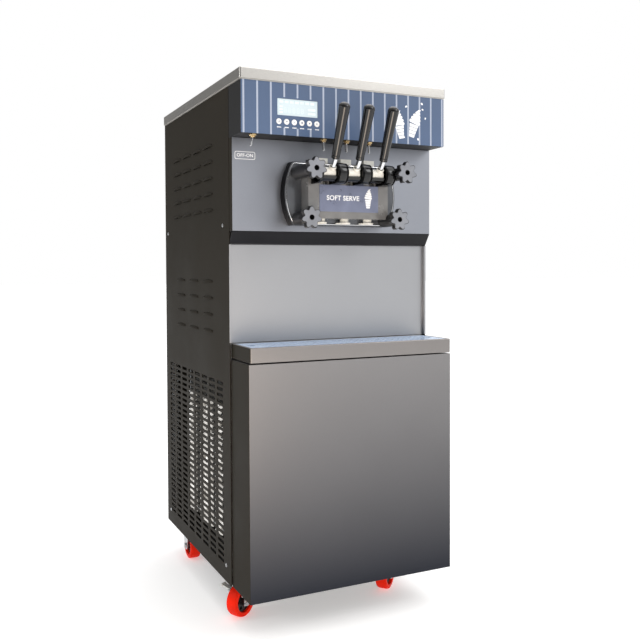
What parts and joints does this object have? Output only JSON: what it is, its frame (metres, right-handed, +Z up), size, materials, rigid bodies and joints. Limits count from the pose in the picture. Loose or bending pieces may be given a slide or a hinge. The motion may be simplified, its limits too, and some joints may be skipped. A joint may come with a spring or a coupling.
{
  "type": "soft-serve ice cream maker",
  "caption": "Floor-standing soft-serve machine on casters: pull levers open spouts over a drip tray, with lift-off lid, control head and vented steel cabinet.",
  "frame": {"origin": "on the floor, under the middle of the bounding box", "axes": "+Z up, +X to the right as seen from the front, +Y towards the back; the front with the levers faces -Y"},
  "size_m": [0.54, 0.784, 1.28],
  "materials": {
    "charcoal_paint": "fine-textured charcoal powder coat",
    "black_paint": "semi-gloss black enamel",
    "machine_grey": "semi-gloss grey enamel",
    "titanium_steel": "brushed steel with a titanium-grey tint",
    "stainless": "brushed stainless steel",
    "grille_steel": "satin stainless steel",
    "galvanised_steel": "galvanised sheet",
    "zinc_steel": "bright zinc plate",
    "polished_steel": "polished steel",
    "brass_nut": "polished brass",
    "copper": "drawn copper tube",
    "fin_aluminium": "mill-finish aluminium",
    "fascia_film": "blue-grey printed film with pale pinstripes",
    "display": "pale backlit display",
    "key_white": "satin white",
    "black_gloss": "glossy black moulding",
    "knob_grey": "satin grey moulding",
    "white_plastic": "food-grade white plastic",
    "red_tread": "red polyurethane",
    "hub_black": "black nylon"
  },
  "bodies": {
    "cabinet": {"base_pan": "charcoal_paint", "inner_frame": "galvanised_steel", "top_deck": "stainless", "hoppers": "stainless", "freezing_cylinders": "stainless", "gear_motors": "machine_grey", "compressor": "black_paint", "condenser": "fin_aluminium", "copper_lines": "copper", "electrical_box": "machine_grey", "head_shell": "titanium_steel", "control_fascia": "fascia_film", "display_module": "display", "switch_bodies": "brass_nut", "upper_front_panel": "titanium_steel", "splash_panel": "titanium_steel", "left_side_panel": "charcoal_paint", "right_side_panel": "charcoal_paint", "rear_panel": "charcoal_paint", "lower_front_panel": "titanium_steel", "dispensing_door": "black_gloss", "pivot_rod": "polished_steel", "nozzles": "white_plastic", "door_studs": "polished_steel", "caster_plates": "zinc_steel", "screws": "zinc_steel"},
    "beater_left": {"beater_left": "white_plastic"},
    "beater_right": {"beater_right": "white_plastic"},
    "fan_rotor": {"fan_rotor": "fin_aluminium"},
    "key_1": {"key_1": "key_white"},
    "key_2": {"key_2": "key_white"},
    "key_3": {"key_3": "key_white"},
    "key_4": {"key_4": "key_white"},
    "key_5": {"key_5": "key_white"},
    "key_6": {"key_6": "key_white"},
    "toggle_main": {"toggle_main": "polished_steel"},
    "toggle_1": {"toggle_1": "polished_steel"},
    "toggle_2": {"toggle_2": "polished_steel"},
    "toggle_3": {"toggle_3": "polished_steel"},
    "top_lid": {"top_lid": "stainless"},
    "lever_left": {"lever_left": "black_gloss"},
    "lever_middle": {"lever_middle": "black_gloss"},
    "lever_right": {"lever_right": "black_gloss"},
    "plunger_left": {"plunger_left": "white_plastic"},
    "plunger_middle": {"plunger_middle": "white_plastic"},
    "plunger_right": {"plunger_right": "white_plastic"},
    "knob_top_left": {"knob_top_left": "knob_grey"},
    "knob_top_right": {"knob_top_right": "knob_grey"},
    "knob_bottom_left": {"knob_bottom_left": "knob_grey"},
    "knob_bottom_right": {"knob_bottom_right": "knob_grey"},
    "drip_tray": {"drip_tray": "titanium_steel"},
    "drip_grille": {"drip_grille": "grille_steel"},
    "fork_front_left": {"fork_front_left": "zinc_steel"},
    "fork_front_right": {"fork_front_right": "zinc_steel"},
    "brake_pedal_left": {"brake_pedal_left": "zinc_steel"},
    "brake_pedal_right": {"brake_pedal_right": "zinc_steel"},
    "wheel_front_left": {"wheel_front_left": "red_tread"},
    "wheel_front_right": {"wheel_front_right": "red_tread"},
    "wheel_rear_left": {"wheel_rear_left": "red_tread"},
    "wheel_rear_right": {"wheel_rear_right": "red_tread"}
  },
  "joints": [
    {"name": "lid_lift", "type": "slide", "parent": "cabinet", "child": "top_lid", "axis": [0, 0, 1], "range_m": [0, 0.08]},
    {"name": "key_1_press", "type": "slide", "parent": "cabinet", "child": "key_1", "axis": [0, 1, 0], "range_m": [0, 0.0008], "stiffness_N_per_m": 1000},
    {"name": "key_2_press", "type": "slide", "parent": "cabinet", "child": "key_2", "axis": [0, 1, 0], "range_m": [0, 0.0008], "stiffness_N_per_m": 1000},
    {"name": "key_3_press", "type": "slide", "parent": "cabinet", "child": "key_3", "axis": [0, 1, 0], "range_m": [0, 0.0008], "stiffness_N_per_m": 1000},
    {"name": "key_4_press", "type": "slide", "parent": "cabinet", "child": "key_4", "axis": [0, 1, 0], "range_m": [0, 0.0008], "stiffness_N_per_m": 1000},
    {"name": "key_5_press", "type": "slide", "parent": "cabinet", "child": "key_5", "axis": [0, 1, 0], "range_m": [0, 0.0008], "stiffness_N_per_m": 1000},
    {"name": "key_6_press", "type": "slide", "parent": "cabinet", "child": "key_6", "axis": [0, 1, 0], "range_m": [0, 0.0008], "stiffness_N_per_m": 1000},
    {"name": "toggle_main_tilt", "type": "hinge", "parent": "cabinet", "child": "toggle_main", "pos_m": [-0.235, -0.256, 1.132], "axis": [0, -1, 0], "range_deg": [0, 24]},
    {"name": "toggle_1_tilt", "type": "hinge", "parent": "cabinet", "child": "toggle_1", "pos_m": [-0.06, -0.256, 1.132], "axis": [0, -1, 0], "range_deg": [-12, 12]},
    {"name": "toggle_2_tilt", "type": "hinge", "parent": "cabinet", "child": "toggle_2", "pos_m": [0, -0.256, 1.132], "axis": [0, -1, 0], "range_deg": [-12, 12]},
    {"name": "toggle_3_tilt", "type": "hinge", "parent": "cabinet", "child": "toggle_3", "pos_m": [0.06, -0.256, 1.132], "axis": [0, -1, 0], "range_deg": [-12, 12]},
    {"name": "lever_left_pull", "type": "hinge", "parent": "cabinet", "child": "lever_left", "pos_m": [-0.062, -0.298, 1.0515], "axis": [1, 0, 0], "range_deg": [0, 36]},
    {"name": "plunger_left_rise", "type": "slide", "parent": "cabinet", "child": "plunger_left", "axis": [0, 0, 1], "range_m": [0, 0.034]},
    {"name": "lever_middle_pull", "type": "hinge", "parent": "cabinet", "child": "lever_middle", "pos_m": [0, -0.298, 1.0515], "axis": [1, 0, 0], "range_deg": [0, 36]},
    {"name": "plunger_middle_rise", "type": "slide", "parent": "cabinet", "child": "plunger_middle", "axis": [0, 0, 1], "range_m": [0, 0.034]},
    {"name": "lever_right_pull", "type": "hinge", "parent": "cabinet", "child": "lever_right", "pos_m": [0.062, -0.298, 1.0515], "axis": [1, 0, 0], "range_deg": [0, 36]},
    {"name": "plunger_right_rise", "type": "slide", "parent": "cabinet", "child": "plunger_right", "axis": [0, 0, 1], "range_m": [0, 0.034]},
    {"name": "beater_left_spin", "type": "hinge", "parent": "cabinet", "child": "beater_left", "pos_m": [-0.066, -0.05, 1.005], "axis": [0, 1, 0], "continuous": true},
    {"name": "beater_right_spin", "type": "hinge", "parent": "cabinet", "child": "beater_right", "pos_m": [0.066, -0.05, 1.005], "axis": [0, 1, 0], "continuous": true},
    {"name": "fan_spin", "type": "hinge", "parent": "cabinet", "child": "fan_rotor", "pos_m": [-0.176, 0.04, 0.38], "axis": [1, 0, 0], "continuous": true},
    {"name": "knob_top_left_turn", "type": "hinge", "parent": "cabinet", "child": "knob_top_left", "pos_m": [-0.1167, -0.333, 1.0564], "axis": [0, -1, 0], "continuous": true},
    {"name": "knob_top_right_turn", "type": "hinge", "parent": "cabinet", "child": "knob_top_right", "pos_m": [0.1167, -0.333, 1.0564], "axis": [0, -1, 0], "continuous": true},
    {"name": "knob_bottom_left_turn", "type": "hinge", "parent": "cabinet", "child": "knob_bottom_left", "pos_m": [-0.1147, -0.302, 0.949], "axis": [0, -1, 0], "continuous": true},
    {"name": "knob_bottom_right_turn", "type": "hinge", "parent": "cabinet", "child": "knob_bottom_right", "pos_m": [0.1147, -0.302, 0.949], "axis": [0, -1, 0], "continuous": true},
    {"name": "tray_pull", "type": "slide", "parent": "cabinet", "child": "drip_tray", "axis": [0, -1, 0], "range_m": [0, 0.09]},
    {"name": "grille_lift", "type": "slide", "parent": "drip_tray", "child": "drip_grille", "axis": [0, 0, 1], "range_m": [0, 0.05]},
    {"name": "fork_left_swivel", "type": "hinge", "parent": "cabinet", "child": "fork_front_left", "pos_m": [-0.196, -0.118, 0.085], "axis": [0, 0, 1], "continuous": true},
    {"name": "wheel_front_left_roll", "type": "hinge", "parent": "fork_front_left", "child": "wheel_front_left", "pos_m": [-0.22891, -0.137, 0.0375], "axis": [0.5, -0.866, 0], "continuous": true},
    {"name": "brake_left_press", "type": "hinge", "parent": "fork_front_left", "child": "brake_pedal_left", "pos_m": [-0.24537, -0.11648, 0.058], "axis": [-0.866, -0.5, 0], "range_deg": [0, 14]},
    {"name": "wheel_rear_left_roll", "type": "hinge", "parent": "cabinet", "child": "wheel_rear_left", "pos_m": [-0.222, 0.292, 0.0375], "axis": [1, 0, 0], "continuous": true},
    {"name": "fork_right_swivel", "type": "hinge", "parent": "cabinet", "child": "fork_front_right", "pos_m": [0.196, -0.118, 0.085], "axis": [0, 0, 1], "continuous": true},
    {"name": "wheel_front_right_roll", "type": "hinge", "parent": "fork_front_right", "child": "wheel_front_right", "pos_m": [0.16732, -0.14293, 0.0375], "axis": [0.6561, -0.7547, 0], "continuous": true},
    {"name": "brake_right_press", "type": "hinge", "parent": "fork_front_right", "child": "brake_pedal_right", "pos_m": [0.14724, -0.12593, 0.058], "axis": [-0.7547, -0.6561, 0], "range_deg": [0, 14]},
    {"name": "wheel_rear_right_roll", "type": "hinge", "parent": "cabinet", "child": "wheel_rear_right", "pos_m": [0.222, 0.292, 0.0375], "axis": [1, 0, 0], "continuous": true}
  ],
  "couplings": [
    {"joint": "plunger_left_rise", "follows": "lever_left_pull", "m_per_rad": 0.0541},
    {"joint": "plunger_middle_rise", "follows": "lever_middle_pull", "m_per_rad": 0.0541},
    {"joint": "plunger_right_rise", "follows": "lever_right_pull", "m_per_rad": 0.0541}
  ]
}
